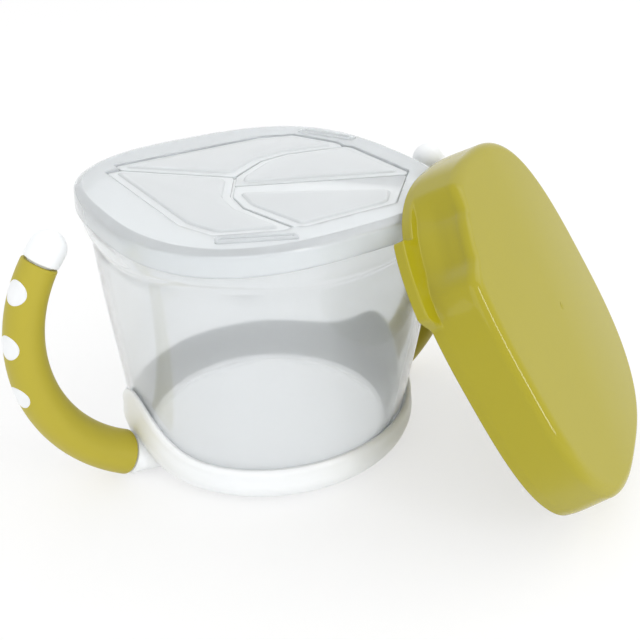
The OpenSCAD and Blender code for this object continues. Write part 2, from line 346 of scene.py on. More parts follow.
def spread(tree, value, low, high):
    """A 0 to 1 value spread between low and high, which are sockets or numbers."""
    node = tree.nodes.new("ShaderNodeMapRange")
    tree.links.new(value, node.inputs["Value"])
    for label, v in (("To Min", low), ("To Max", high)):
        if isinstance(v, (int, float)):
            node.inputs[label].default_value = v
        else:
            tree.links.new(v, node.inputs[label])
    return node.outputs[0]


def moulded_skin_group():
    """Fine grain and slow waves of moulded plastic, with patchy gloss."""
    tree, start, end = group_start(
        "moulded_skin",
        [("Grain", 1.0), ("Waves", 1.0), ("Gloss low", 0.1), ("Gloss high", 0.2)],
        [("Height", "NodeSocketFloat"), ("Roughness", "NodeSocketFloat")],
    )
    grain = noise_node(tree, 2600, 3.0)
    waves = noise_node(tree, 55, 1.5)
    patches = noise_node(tree, 120, 5.0, (1, 1, 1), 0.6)
    rubbed = noise_node(tree, 420, 4.0, (1, 1, 0.12), 0.3)
    fine = math_node(tree, "MULTIPLY", grain, start.outputs["Grain"])
    slow = math_node(tree, "MULTIPLY", waves, start.outputs["Waves"])
    tree.links.new(math_node(tree, "ADD", fine, slow), end.inputs["Height"])
    both = math_node(
        tree, "ADD", math_node(tree, "MULTIPLY", patches, 0.6), math_node(tree, "MULTIPLY", rubbed, 0.4)
    )
    roughness = spread(tree, both, start.outputs["Gloss low"], start.outputs["Gloss high"])
    tree.links.new(roughness, end.inputs["Roughness"])
    return tree


def tinted_group():
    """A colour that drifts a little between two shades over the surface."""
    tree, start, end = group_start("tinted", [("Drift", 0.5)], [("Color", "NodeSocketColor")])
    for label, value in (("Shade", (0.5, 0.5, 0.5, 1)), ("Tone", (0.6, 0.6, 0.6, 1))):
        s = tree.interface.new_socket(name=label, in_out="INPUT", socket_type="NodeSocketColor")
        s.default_value = value
    mix = tree.nodes.new("ShaderNodeMix")
    mix.data_type = "RGBA"
    drift = noise_node(tree, 38, 3.0, (1, 1, 1), 0.4)
    tree.links.new(math_node(tree, "MULTIPLY", drift, start.outputs["Drift"]), mix.inputs["Factor"])
    tree.links.new(start.outputs["Shade"], mix.inputs["A"])
    tree.links.new(start.outputs["Tone"], mix.inputs["B"])
    tree.links.new(mix.outputs["Result"], end.inputs["Color"])
    return tree


def shared(name, maker):
    return bpy.data.node_groups.get(name) or maker()


def scaled(rgb, by):
    return tuple(min(1.0, c * by) for c in rgb) + (1.0,)


def plastic(name, rgb, grain, waves, gloss, bump_mm, plain=(), drift=0.5, tone=1.06):
    """A material for one finish. plain holds values set on the shader itself."""
    material = bpy.data.materials.new(name)
    material.use_nodes = True
    tree = material.node_tree
    shader = tree.nodes["Principled BSDF"]
    skin_node = tree.nodes.new("ShaderNodeGroup")
    skin_node.node_tree = shared("moulded_skin", moulded_skin_group)
    for label, value in zip(("Grain", "Waves", "Gloss low", "Gloss high"), (grain, waves, *gloss)):
        skin_node.inputs[label].default_value = value
    tint = tree.nodes.new("ShaderNodeGroup")
    tint.node_tree = shared("tinted", tinted_group)
    tint.inputs["Shade"].default_value = scaled(rgb, 1.0)
    tint.inputs["Tone"].default_value = scaled(rgb, tone)
    tint.inputs["Drift"].default_value = drift
    height = tree.nodes.new("ShaderNodeBump")
    height.inputs["Strength"].default_value = 1.0
    height.inputs["Distance"].default_value = bump_mm * 0.001
    tree.links.new(tint.outputs["Color"], shader.inputs["Base Color"])
    tree.links.new(skin_node.outputs["Roughness"], shader.inputs["Roughness"])
    tree.links.new(skin_node.outputs["Height"], height.inputs["Height"])
    tree.links.new(height.outputs["Normal"], shader.inputs["Normal"])
    for label, value in plain:
        shader.inputs[label].default_value = value
    return material


# Cup


def foot_curve(z, c):
    return c.wall_low - (c.wall_low - c.foot_r) * (1 - z / c.foot_h) ** 2


def wall_shape(z, c, h):
    """Half width and squareness of the cup's outside at height z."""
    top = c.height - c.collar_drop - c.collar_slope
    n = 2 + (c.square - 2) * float(ease((z - h.ring_h / 2) / (top * 0.75))) ** 0.8
    if z < c.foot_h:
        return foot_curve(z, c), n
    share = max(0.0, (z - h.ring_h) / (top - h.ring_h))
    return c.wall_low + (c.wall_high - c.wall_low) * share**1.15, n


def cup_part(c, h):
    sides = 192
    top = c.height - c.collar_drop - c.collar_slope
    rim = c.collar_w - 0.0006
    outside = []
    for t in (0.0, 0.04, 0.1, 0.17, 0.25, 0.35, 0.45, 0.57, 0.7, 0.85, 1.0):
        z = t * c.foot_h
        w, n = wall_shape(z, c, h)
        outside.append(level(w, n, z, sides))
    steps = 22
    heights = [c.foot_h + (top - c.foot_h) * (i / steps) ** 1.15 for i in range(1, steps + 1)]
    for z in heights[:-1]:
        w, n = wall_shape(z, c, h)
        outside.append(level(w, n, z, sides))
    under = len(outside)
    w, n = wall_shape(top, c, h)
    outside += [
        level(w, n, top, sides, c.collar_wave),
        level(c.collar_w, c.square, top + c.collar_slope, sides, c.collar_wave),
        level(c.collar_w, c.square, c.height - c.shoulder_drop, sides),
        level(rim, c.square, c.height - c.shoulder_drop, sides),
        level(rim, c.square, c.height, sides),
        level(rim - c.wall, c.square, c.height, sides),
        level(rim - c.wall, c.square, top + c.collar_slope, sides),
    ]
    inner = len(outside) - 1
    for z in reversed(heights[:-1]):
        w, n = wall_shape(z, c, h)
        outside.append(level(w - c.wall, n, z, sides))
    for t in (1.0, 0.85, 0.7, 0.55, 0.4, 0.28, 0.17, 0.09, 0.03, 0.0):
        w = foot_curve(t * c.foot_h, c) - c.wall - c.floor * (1 - t)
        outside.append(level(w, 2.0, c.floor + t * (c.foot_h - c.floor), sides))
    cuts = {0: 0, under: 0.0012, under + 1: 0.0009, under + 2: 0.0003, under + 3: 0.0003}
    cuts.update({under + 4: 0.0005, under + 5: 0.0005, inner: 0.004})
    return skin(soften(outside, cuts, 5))


# Handle ring, cores, grips and dots


def ring_top(a, h):
    wide = math.radians(20)
    return h.ring_h + h.ring_rise * (bump(turned(a), wide) + bump(turned(a - math.pi), wide))


def ring_part(c, h):
    sides = 256
    a = angles(sides)
    inner_r = c.wall_low + h.ring_gap
    bulge = c.wall_low + h.ring_out
    toe, lip = 0.0026, 0.0009
    sides_of_ring = (
        (0.0, c.foot_r + toe), (0.1, c.foot_r + toe * 1.7), (0.24, bulge - h.ring_out * 0.54),
        (0.42, bulge - h.ring_out * 0.11), (0.6, bulge), (0.8, bulge - h.ring_out * 0.21),
        (0.94, inner_r + lip * 1.67), (1.0, inner_r + lip),
    )
    share = np.array([s for s, _ in sides_of_ring])
    radius = np.array([r for _, r in sides_of_ring])

    def at(t, r, outer):
        z = h.ring_lift + (ring_top(a, h) - h.ring_lift) * t
        swell = []
        for zz, aa in zip(z, a):
            w, n = wall_shape(float(zz), c, h)
            swell.append(float(reach(w, n, aa)) - c.wall_low)
        swell = np.array(swell)
        if outer:
            swell = np.maximum(0, swell)
        return ring_of(r + swell, a, z)

    # A smooth curve through the ring's own points
    smooth_t = np.linspace(0, 1, 22)
    smooth_r = smooth_through(share, radius, smooth_t)
    outer = [at(t, r, True) for t, r in zip(smooth_t, smooth_r)]
    inner = [at(t, inner_r, False) for t in (1, 0.85, 0.65, 0.45, 0.28, 0.14, 0)]
    count = len(outer)
    cuts = {0: 0.0006, count - 1: 0.0004, count: 0.0004, count + 6: 0.0004}
    return skin(soften(outer + inner, cuts, 4, closed=True), closed=True)


def smooth_through(x, y, at):
    """Values at the given places on a smooth curve through the points."""
    slope = np.gradient(y, x)
    out = []
    for v in at:
        i = min(len(x) - 2, max(0, int(np.searchsorted(x, v) - 1)))
        span = x[i + 1] - x[i]
        t = (v - x[i]) / span
        out.append(
            (2 * t**3 - 3 * t**2 + 1) * y[i] + (t**3 - 2 * t**2 + t) * span * slope[i]
            + (-2 * t**3 + 3 * t**2) * y[i + 1] + (t**3 - t**2) * span * slope[i + 1]
        )
    return np.array(out)


LOW_ANGLE = math.radians(-60)
HIGH_ANGLE = math.radians(39.5)
SLEEVE_END = 0.945
# The top dot's share of the arc, the step to the next, and the dots' turn to the front
DOT_TOP, DOT_STEP, DOT_TILT = 0.844, 0.1735, math.radians(25)


class Arc:
    """The handle's arc: share 0 is the lower end of the grip and 1 the tip."""

    def __init__(self, c, h):
        self.h = h
        self.cx = c.wall_low + h.out - h.arc_r

    def angle(self, s):
        return LOW_ANGLE + (HIGH_ANGLE - LOW_ANGLE) * s

    def point(self, s):
        a = self.angle(s)
        return np.array([self.cx + self.h.arc_r * math.cos(a), 0, self.h.arc_z + self.h.arc_r * math.sin(a)])

    def thick(self, s):
        return self.h.grip_low + (self.h.grip_high - self.h.grip_low) * s

    def wide(self, s):
        return self.thick(s) * (self.h.flat + (1 - self.h.flat) * s)

    def section(self, s, inset, sides=48):
        return oval(self.point(s), self.angle(s), self.thick(s) - inset, self.wide(s) - inset, sides)


def oval(p, a, thick, wide, sides=48):
    """An oval round the point p, square to the arc at angle a."""
    t = angles(sides)
    out = thick * np.cos(t)
    return np.stack([p[0] + out * math.cos(a), p[1] + wide * np.sin(t), p[2] + out * math.sin(a)], axis=-1)


def root_ring(c, h, k=1.0, sides=48):
    """The handle's root on the ring, drawn in to the share k."""
    t = angles(sides)
    low, high = 0.0013, h.ring_h + h.ring_rise - 0.007
    z = (low + high) / 2 - k * (high - low) / 2 * np.cos(t)
    wide = h.grip_low * h.flat + 0.006
    y = k * wide * np.sin(t)
    r = np.array([c.wall_low + h.ring_gap + 0.0007 + wall_shape(float(v), c, h)[0] - c.wall_low for v in z])
    return np.stack([np.sqrt(r * r - y * y), y, z], axis=-1)


def core_part(c, h):
    """The white core of one handle: root, neck, tip and rounded end."""
    arc = Arc(c, h)
    step = 0.0005
    neck = arc.section(-0.03, step)
    foot = root_ring(c, h)
    levels = [root_ring(c, h, k) for k in (0.15, 0.5, 0.8)]
    for f in np.linspace(0, 1, 15)[:-1]:
        g = 1 - (1 - f) ** 2.4
        levels.append(foot + (neck - foot) * np.array([f, g, g]))
    levels += [neck, arc.section(-0.008, step), arc.section(-0.006, h.sleeve)]
    levels += [arc.section(SLEEVE_END * i / 30, h.sleeve) for i in range(1, 30)]
    levels.append(arc.section(SLEEVE_END + 0.006, h.sleeve))
    for s, inset in ((0.0075, 0.0004), (0.009, 0.00015), (0.012, 0.00005), (0.02, 0.00002), (0.035, 0.0)):
        levels.append(arc.section(SLEEVE_END + s, inset))
    ball = h.grip_high
    way = np.array([-math.sin(HIGH_ANGLE), 0, math.cos(HIGH_ANGLE)])
    for t in np.radians([0, 12, 24, 36, 48, 58, 68, 76, 83, 88]):
        r = ball * math.cos(t)
        levels.append(oval(arc.point(1) + way * ball * math.sin(t), HIGH_ANGLE, r, r))
    return skin(levels)


def grip_part(c, h):
    arc = Arc(c, h)
    shares = [SLEEVE_END * i / 60 for i in range(61)]
    outer = [arc.section(s, 0.00004) for s in shares]
    inner = [arc.section(s, h.sleeve - 0.00012) for s in reversed(shares)]
    cuts = {0: 0.0005, 60: 0.0005, 61: 0.0002, 121: 0.0002}
    return skin(soften(outer + inner, cuts, 4, closed=True), closed=True)


def dot_part(c, h, grip):
    """The round dots: low domes that follow the grip's surface."""
    arc = Arc(c, h)
    tree = BVHTree.FromPolygons([Vector(v) for v in grip[0]], grip[1])
    parts = []
    for i in range(h.dots):
        s = DOT_TOP - DOT_STEP * i
        a = arc.angle(s)
        out = np.array([math.cos(a), 0, math.sin(a)]) * math.cos(DOT_TILT)
        out = out + np.array([0, -1, 0]) * math.sin(DOT_TILT)
        up = np.array([-math.sin(a), 0, math.cos(a)])
        side = np.cross(out, up)
        centre = arc.point(s)
        radius = h.dot_d / 2 - 0.0003
        levels = []
        for share, lift in ((1.0, -0.0003), (1.0, 0.00003), (0.985, 0.00009), (0.95, 0.00012), (0.8, 0.00014),
                            (0.6, 0.00015), (0.4, 0.00015), (0.2, 0.00015), (0.05, 0.00015)):
            ring = []
            for t in angles(40):
                p = centre + (up * math.cos(t) + side * math.sin(t)) * radius * share
                hit = tree.ray_cast(Vector(p + out * 0.03), Vector(-out))[0]
                ring.append(np.array(hit) + out * lift)
            levels.append(np.array(ring))
        parts.append(skin(levels))
    return join_parts(parts)


# Lid and flaps

# How far the hinge lines run, and the cut at the large flaps' outer corner
LARGE_END, SMALL_START, SMALL_END, NIP = 0.0195, 0.0084, 0.02, 0.0046


def across(p):
    return (-p[1], -p[0])


def flap_outlines(d):
    """Corners of the four flaps: left, front, back and right."""
    def at(x, y):
        return (x * 0.001, y * 0.001)

    hub, bend_in, bend_out = at(-5, 5), at(-13.2, -8.2), at(-14.8, -17.5)
    slit_end, slot_in, slot_out = at(-10.8, -37), at(-14.4, -37.6), at(-30.4, -30.6)
    fork = ((hub[0] + bend_in[0]) / 2, (hub[1] + bend_in[1]) / 2)
    big, small = d.large_hinge, d.small_hinge
    fork_end = (small - 0.0018, -0.0218)
    left = [
        (-big, big - NIP), (-big, -LARGE_END), slot_out, slot_in, slit_end,
        bend_out, bend_in, hub, (-big + NIP, big - NIP),
    ]
    front_start, corner = (slit_end[0] + 0.0024, -small), (SMALL_END, -small)
    spine = [bend_in, bend_out, slit_end]
    front = [front_start, corner, fork_end, fork] + spine
    right = [hub, fork, fork_end, across(corner), across(front_start)] + [across(p) for p in reversed(spine)]
    return {
        "left_flap": left, "front_flap": front, "right_flap": right,
        "back_flap": [across(p) for p in reversed(left)],
    }


def panel_outline(name, outline, d):
    """The raised panel fills its flap, but in front it stops short of the fork."""
    if name != "front_flap":
        return outline
    return outline[:2] + [(0.0289, -0.029), (-0.0108, -0.0044)] + outline[4:]


def signed_area(pts):
    x, y = np.array(pts).T
    return 0.5 * float(np.sum(x * np.roll(y, -1) - np.roll(x, -1) * y))


def corners_at(lines, d):
    """Where neighbouring sides meet once each has moved in by d."""
    out = []
    for i, (p, u) in enumerate(lines):
        q, v = lines[i - 1]
        p, q = p + np.array([-u[1], u[0]]) * d, q + np.array([-v[1], v[0]]) * d
        cross = v[0] * u[1] - v[1] * u[0]
        if abs(cross) < 1e-6:
            out.append(p)
        else:
            w = p - q
            out.append(q + v * (w[0] * u[1] - w[1] * u[0]) / cross)
    return out


def drawn_in(pts, d, most=None):
    """The outline with every side moved in by d. Sides that are gone by most are left out."""
    pts = [np.array(p) for p in (pts if signed_area(pts) > 0 else list(reversed(pts)))]
    lines = []
    for i, p in enumerate(pts):
        u = pts[(i + 1) % len(pts)] - p
        lines.append((p, u / np.linalg.norm(u)))
    while True:
        corners = corners_at(lines, d if most is None else most)
        left = [float((corners[(i + 1) % len(lines)] - c) @ lines[i][1]) for i, c in enumerate(corners)]
        worst = int(np.argmin(left))
        if left[worst] > 0.0003 or len(lines) < 4:
            return corners_at(lines, d)
        del lines[worst]


def rounded(pts, r, steps=5):
    """The outline with its corners rounded by about r."""
    out = []
    for i, p in enumerate(pts):
        a, b = pts[i - 1] - p, pts[(i + 1) % len(pts)] - p
        la, lb = np.linalg.norm(a), np.linalg.norm(b)
        cut = min(r, 0.45 * la, 0.45 * lb)
        pa, pb = p + a / la * cut, p + b / lb * cut
        for t in np.linspace(0, 1, steps + 1):
            out.append((1 - t) ** 2 * pa + 2 * t * (1 - t) * p + t * t * pb)
    return out


def slab(outline, z0, z1):
    """A flat slab on an outline."""
    low = np.array([(p[0], p[1], z0) for p in outline])
    high = np.array([(p[0], p[1], z1) for p in outline])
    return skin([low, high])


def flap_part(name, outline, d, lid_z, top):
    plate_top = top - d.panel_h
    levels = []
    for inset, z in ((0.00012, lid_z), (0, lid_z + 0.00012), (0, plate_top - 0.0002), (0.0002, plate_top)):
        ring = rounded(drawn_in(outline, d.slit / 2 + inset, d.slit / 2 + 0.0002), 0.0009)
        levels.append(np.array([(p[0], p[1], z) for p in ring]))
    panel = []
    edge = d.slit / 2 + d.margin
    for inset, z in ((0, plate_top - 0.0001), (0.00015, plate_top + 0.2 * d.panel_h),
                     (0.0004, top - 0.0002), (0.0007, top - 0.00004), (0.001, top)):
        ring = rounded(drawn_in(panel_outline(name, outline, d), edge + inset, edge + 0.001), 0.0018)
        panel.append(np.array([(p[0], p[1], z) for p in ring]))
    return join_parts([skin(levels), skin(panel)])


def web_part(p, q, lid_z):
    """The thinned line of plastic that a flap bends along, from p to q."""
    p, q = np.array(p), np.array(q)
    way = (q - p) / np.linalg.norm(q - p)
    out = np.array([-way[1], way[0]])
    if out @ (p + q) < 0:
        out = -out
    p, q = p + way * 0.0012, q - way * 0.0012
    ring = [p + out * 0.00004, q + out * 0.00004, q - out * 0.0007, p - out * 0.0007]
    return slab(ring, lid_z + 0.00006, lid_z + 0.0005)


def hinge_line(node, d):
    """The two ends of a flap's hinge line."""
    big, small = d.large_hinge, d.small_hinge
    return {
        "left_flap": ((-big, -LARGE_END), (-big, big - NIP)),
        "back_flap": ((-big + NIP, big), (LARGE_END, big)),
        "right_flap": ((small, -SMALL_END), (small, SMALL_START)),
        "front_flap": ((-SMALL_START, -small), (SMALL_END, -small)),
    }[node]


def union_outline(d):
    """The outline of the whole opening that the four flaps fill."""
    o = flap_outlines(d)
    left, front, right = o["left_flap"], o["front_flap"], o["right_flap"]
    first = [left[8]] + left[:5]
    return first + front[:3] + right[3:6] + [across(p) for p in reversed(first[1:-1])]


def plate_between(b, outer, inner, z, up):
    """A flat face between an outer ring and an inner outline."""
    edges = []
    loops = []
    for pts in (outer, inner):
        vs = [b.verts.new((p[0], p[1], z)) for p in pts]
        edges += [b.edges.new((vs[i], vs[(i + 1) % len(vs)])) for i in range(len(vs))]
        loops.append(vs)
    normal = (0, 0, 1 if up else -1)
    bmesh.ops.triangle_fill(b, use_beauty=True, use_dissolve=False, edges=edges, normal=normal)
    return loops


def bridge(b, low, high):
    for i in range(len(low)):
        h = (i + 1) % len(low)
        b.faces.new((low[i], low[h], high[h], high[i]))


def frame_part(c, d):
    """The lid without its flaps: top, sloped edge and skirt."""
    sides = 192
    lid_z = c.height + d.fit
    top = lid_z + d.top
    skirt_z = c.height - c.shoulder_drop + d.fit
    lid_in = c.collar_w - 0.0006 + d.fit
    lid_out = lid_in + d.wall
    shell = [
        level(lid_in, c.square, lid_z, sides),
        level(lid_in, c.square, skirt_z, sides),
        level(lid_out + d.foot, c.square, skirt_z, sides),
        level(lid_out, c.square, top - d.bevel_h - 0.0007, sides),
        level(lid_out - 0.00025, c.square, top - d.bevel_h, sides),
        level(lid_out - d.bevel, c.square, top, sides),
        level(lid_out - d.bevel - 0.0004, c.square, top, sides),
    ]
    shell = soften(shell, {1: 0.0002, 2: 0.0003, 3: 0.0008, 4: 0.0005, 5: 0.0007}, 5)
    hole = [np.array(p) for p in union_outline(d)]
    b = bmesh.new()
    grown = drawn_in(hole, -0.00005)
    top_outline = rounded(drawn_in(hole, -0.00025), 0.0008)
    mid_outline = rounded(grown, 0.0008)
    upper = plate_between(b, shell[-1][:, :2], top_outline, top, True)
    lower = plate_between(b, shell[0][:, :2], mid_outline, lid_z, False)
    rows = [lower[0]]
    for ring in shell[1:-1]:
        rows.append([b.verts.new(tuple(p)) for p in ring])
    rows.append(upper[0])
    for k in range(len(rows) - 1):
        bridge(b, rows[k], rows[k + 1])
    middle = [b.verts.new((p[0], p[1], top - 0.0002)) for p in mid_outline]
    bridge(b, middle, lower[1])
    bridge(b, upper[1], middle)
    mesh = bpy.data.meshes.new("lid_frame_work")
    b.to_mesh(mesh)
    b.free()
    part = (np.array([v.co[:] for v in mesh.vertices]), [tuple(f.vertices) for f in mesh.polygons])
    bpy.data.meshes.remove(mesh)
    return part


def pad_part(d, top):
    """The low ridges on the rim outside the large flaps' free corners."""
    slot_in, slot_out = np.array([-0.0144, -0.0376]), np.array([-0.0304, -0.0306])
    along = (slot_in - slot_out) / np.linalg.norm(slot_in - slot_out)
    out = np.array([along[1], -along[0]])
    last = slot_in + along * 0.003
    pts = [slot_out + out * 0.0016, last + out * 0.0026, last + out * 0.0066, slot_out + out * 0.006]
    levels = []
    for inset, z in ((0, -0.0001), (0.0001, 0.0002), (0.0003, 0.00034), (0.0006, 0.0004),
                     (0.0009, 0.0004), (0.0012, 0.0003), (0.0014, 0.00002), (0.0015, -0.0001)):
        ring = rounded(drawn_in(pts, inset), 0.0012 - 0.5 * inset)
        levels.append(np.array([(p[0], p[1], top + z) for p in ring]))
    one = skin(levels, closed=True)
    v = np.array(one[0])
    other = (np.stack([-v[:, 1], -v[:, 0], v[:, 2]], axis=-1), [tuple(reversed(f)) for f in one[1]])
    return join_parts([one, other])


# Cover

SCOOP_AT, SCOOP_HALF, SCOOP_FLANK = 224.5, 17.0, 10.0
LIP_AT, LIP_HALF, LIP_END = 236.0, 12.5, 3.5
# Angles of a level's points, close together from the scoop to the lip
COVER_ANGLES = np.radians(np.concatenate([np.arange(203, 252, 0.5), np.linspace(252, 563, 190)[:-1]]))


def away(at):
    """Degrees between each of the cover's angles and a place on its rim."""
    return np.abs(np.degrees(turned(COVER_ANGLES - math.radians(at))))


def cover_ring(w, n, z, dent=0.0, out=0.0):
    a = COVER_ANGLES
    hollow = ease((SCOOP_HALF - away(SCOOP_AT)) / SCOOP_FLANK)
    r = reach(w, n, a) - dent * hollow + out * ease((LIP_HALF - away(LIP_AT)) / LIP_END)
    return ring_of(r, a, z)


def cover_matrix(c, d, v):
    """Where the cover leans: its lowest edge on the table, its highest on the lid."""
    lid_top = c.height + d.fit + d.top
    lid_out = c.collar_w - 0.0006 + d.fit + d.wall
    inside = lid_out + d.foot + d.fit
    low = support(inside + v.wall, c.square, v.spin)
    high = support(inside, c.square, v.spin)
    lean = math.asin((lid_top + v.rest) / (low + high))
    out = support(lid_out, c.square, v.face) - v.over + high * math.cos(lean)
    up = low * math.sin(lean) - 0.0004 * math.cos(lean) + d.fit
    return (
        Matrix.Rotation(v.face, 4, "Z") @ Matrix.Translation((out, v.side, up))
        @ Matrix.Rotation(lean, 4, "Y") @ Matrix.Rotation(v.spin, 4, "Z")
    )


def placed(part, matrix):
    verts, faces = part
    m = np.array(matrix)
    return np.asarray(verts) @ m[:3, :3].T + m[:3, 3], faces


def cover_part(c, d, v):
    inside = c.collar_w - 0.0006 + d.fit + d.wall + d.foot + d.fit
    w0 = inside + v.wall - 0.0001
    w1 = w0 - v.taper
    n = c.square
    edge = v.depth - v.rounding
    skirt = [
        cover_ring(w0 - 0.0003, n, 0, 0, v.lip),
        cover_ring(w0, n, 0.0004, 0, v.lip + 0.0002),
        cover_ring(w0, n, v.lip_t, 0, v.lip),
        cover_ring(w0 - 0.00005, n, v.lip_t + 0.0004, v.scoop * 0.5, 0),
    ]
    base = v.lip_t + 0.0004
    for t in np.linspace(0, 1, 7)[1:-1]:
        deep = 0.5 + 0.5 * float(ease(2 * t))
        skirt.append(cover_ring(w0 - v.taper * t, n, base + (edge - base) * t, v.scoop * deep, 0))
    for t in np.linspace(0, 90, 13):
        r = math.radians(t)
        w = w1 - v.rounding * (1 - math.cos(r))
        skirt.append(cover_ring(w, n, edge + v.rounding * math.sin(r), v.scoop * (1 - 0.35 * t / 90)))
    turn_in = v.rounding - v.wall / 2
    top_in = v.depth - v.wall
    hollow = []
    for t in (90, 75, 60, 45, 30, 15, 0):
        r = math.radians(t)
        w = w1 - v.wall - turn_in * (1 - math.cos(r))
        hollow.append(cover_ring(w, n, top_in - turn_in * (1 - math.sin(r)), v.scoop * 0.9))
    hollow += [
        cover_ring(w0 - v.wall - 0.0001, n, base, v.scoop * 0.5),
        cover_ring(w0 - v.wall, n, v.lip_t - 0.0006),
        cover_ring(w0 - v.wall, n, 0),
    ]
    cuts = {9: 0.0004, 10: 0.0003, 12: 0.0005, 13: 0.0003}
    return skin(soften(hollow + skirt, cuts, 4))


def gate_part(v):
    """The small round mark that the moulding leaves on the cover's top."""
    levels = []
    for r, z in ((0.0011, -0.0001), (0.0011, 0.00006), (0.00095, 0.00012), (0.0007, 0.0001),
                 (0.0005, 0.00003), (0.0003, 0.0), (0.0002, 0.00005)):
        levels.append(level(r, 2.0, v.depth + z, 32))
    verts, faces = skin(levels)
    return np.asarray(verts) + [0.001, 0.002, 0], faces


# Operators


class SnackOperator:
    """What every operator here shares."""

    bl_options = {"REGISTER", "UNDO"}

    @staticmethod
    def sizes(context):
        s = context.scene
        return s.snack_cup, s.snack_lid, s.snack_handle, s.snack_cover, s.snack_finish

    def execute(self, context):
        self.build(context)
        return {"FINISHED"}


class SNACK_OT_cup(SnackOperator, Operator):
    """Build the clear cup"""

    bl_idname = "snack.cup"
    bl_label = "Cup"

    def build(self, context):
        c, _, h, _, f = self.sizes(context)
        finish = plastic(
            "clear_cup_plastic", f.clear, 0.01, 0.6, (0.05, 0.1), 0.05,
            [("Transmission Weight", 0.82), ("IOR", 1.36), ("Metallic", 0.0)], drift=0.3, tone=1.02,
        )
        add_piece("cup_body", cup_part(c, h), finish, "base", ["cup"])


class SNACK_OT_ring(SnackOperator, Operator):
    """Build the white handle ring with its cores and dots"""

    bl_idname = "snack.ring"
    bl_label = "Handle ring"

    def build(self, context):
        c, _, h, _, f = self.sizes(context)
        finish = plastic(
            "white_moulded_plastic", f.white, 0.05, 0.2, (0.28, 0.34), 0.03,
            [("IOR", 1.5), ("Subsurface Weight", 0.3), ("Subsurface Radius", (1.0, 1.0, 1.0)),
             ("Subsurface Scale", 0.0025)], drift=0.5, tone=1.02,
        )
        core = core_part(c, h)
        dots = dot_part(c, h, grip_part(c, h))
        whole = join_parts([ring_part(c, h), core, mirrored(core), dots, mirrored(dots)])
        add_piece("handle_ring_white", whole, finish, "base", ["handle_ring"], sharp=50)


class SNACK_OT_grips(SnackOperator, Operator):
    """Build the two soft green grips"""

    bl_idname = "snack.grips"
    bl_label = "Grips"

    def build(self, context):
        c, _, h, _, f = self.sizes(context)
        finish = plastic(
            "soft_green_rubber", f.grip, 0.3, 0.8, (0.38, 0.55), 0.03,
            [("IOR", 1.48), ("Specular IOR Level", 0.4)], drift=0.6, tone=1.1,
        )
        right = grip_part(c, h)
        add_piece("right_soft_grip", right, finish, "base", ["right_grip"])
        add_piece("left_soft_grip", mirrored(right), finish, "base", ["left_grip"])


class SNACK_OT_lid(SnackOperator, Operator):
    """Build the clear lid and its four flaps"""

    bl_idname = "snack.lid"
    bl_label = "Lid and flaps"

    def build(self, context):
        c, d, _, _, f = self.sizes(context)
        clear = plastic(
            "clear_lid_plastic", f.lid, 0.01, 0.6, (0.08, 0.16), 0.05,
            [("Transmission Weight", 0.66), ("IOR", 1.42), ("Metallic", 0.0)], drift=0.3, tone=1.02,
        )
        frosted = plastic(
            "frosted_flap_plastic", f.lid, 0.02, 0.6, (0.12, 0.22), 0.05,
            [("Transmission Weight", 0.45), ("IOR", 1.42), ("Metallic", 0.0)], drift=0.3, tone=1.02,
        )
        lid_z = c.height + d.fit
        top = lid_z + d.top
        whole = join_parts([frame_part(c, d), pad_part(d, top)])
        add_piece("lid_rim_clear", whole, clear, "lid", ["lid_frame"])
        for node, outline in flap_outlines(d).items():
            part = join_parts([flap_part(node, outline, d, lid_z, top), web_part(*hinge_line(node, d), lid_z)])
            body = "flap_" + node.removesuffix("_flap")
            add_piece(node + "_clear", part, frosted, body, [node])


class SNACK_OT_cover(SnackOperator, Operator):
    """Build the glossy green cover"""

    bl_idname = "snack.cover"
    bl_label = "Cover"

    def build(self, context):
        c, d, _, v, f = self.sizes(context)
        finish = plastic(
            "glossy_green_plastic", f.cover, 0.04, 1.0, (0.12, 0.2), 0.04,
            [("IOR", 1.15), ("Coat IOR", 1.42), ("Coat Roughness", 0.06)], drift=0.6, tone=1.05,
        )
        self.gloss_where_it_faces(finish.node_tree)
        where = cover_matrix(c, d, v)
        whole = join_parts([cover_part(c, d, v), gate_part(v)])
        add_piece("green_cover", placed(whole, where), finish, "cover", ["cover"])

    def gloss_where_it_faces(self, tree):
        """A glossy coat that fades out on surfaces seen at a low angle."""
        facing = tree.nodes.new("ShaderNodeLayerWeight")
        facing.inputs["Blend"].default_value = 0.5
        fade = tree.nodes.new("ShaderNodeMapRange")
        for label, value in (("From Min", 0.45), ("From Max", 0.72), ("To Min", 1.0), ("To Max", 0.0)):
            fade.inputs[label].default_value = value
        tree.links.new(facing.outputs["Facing"], fade.inputs["Value"])
        tree.links.new(fade.outputs[0], tree.nodes["Principled BSDF"].inputs["Coat Weight"])


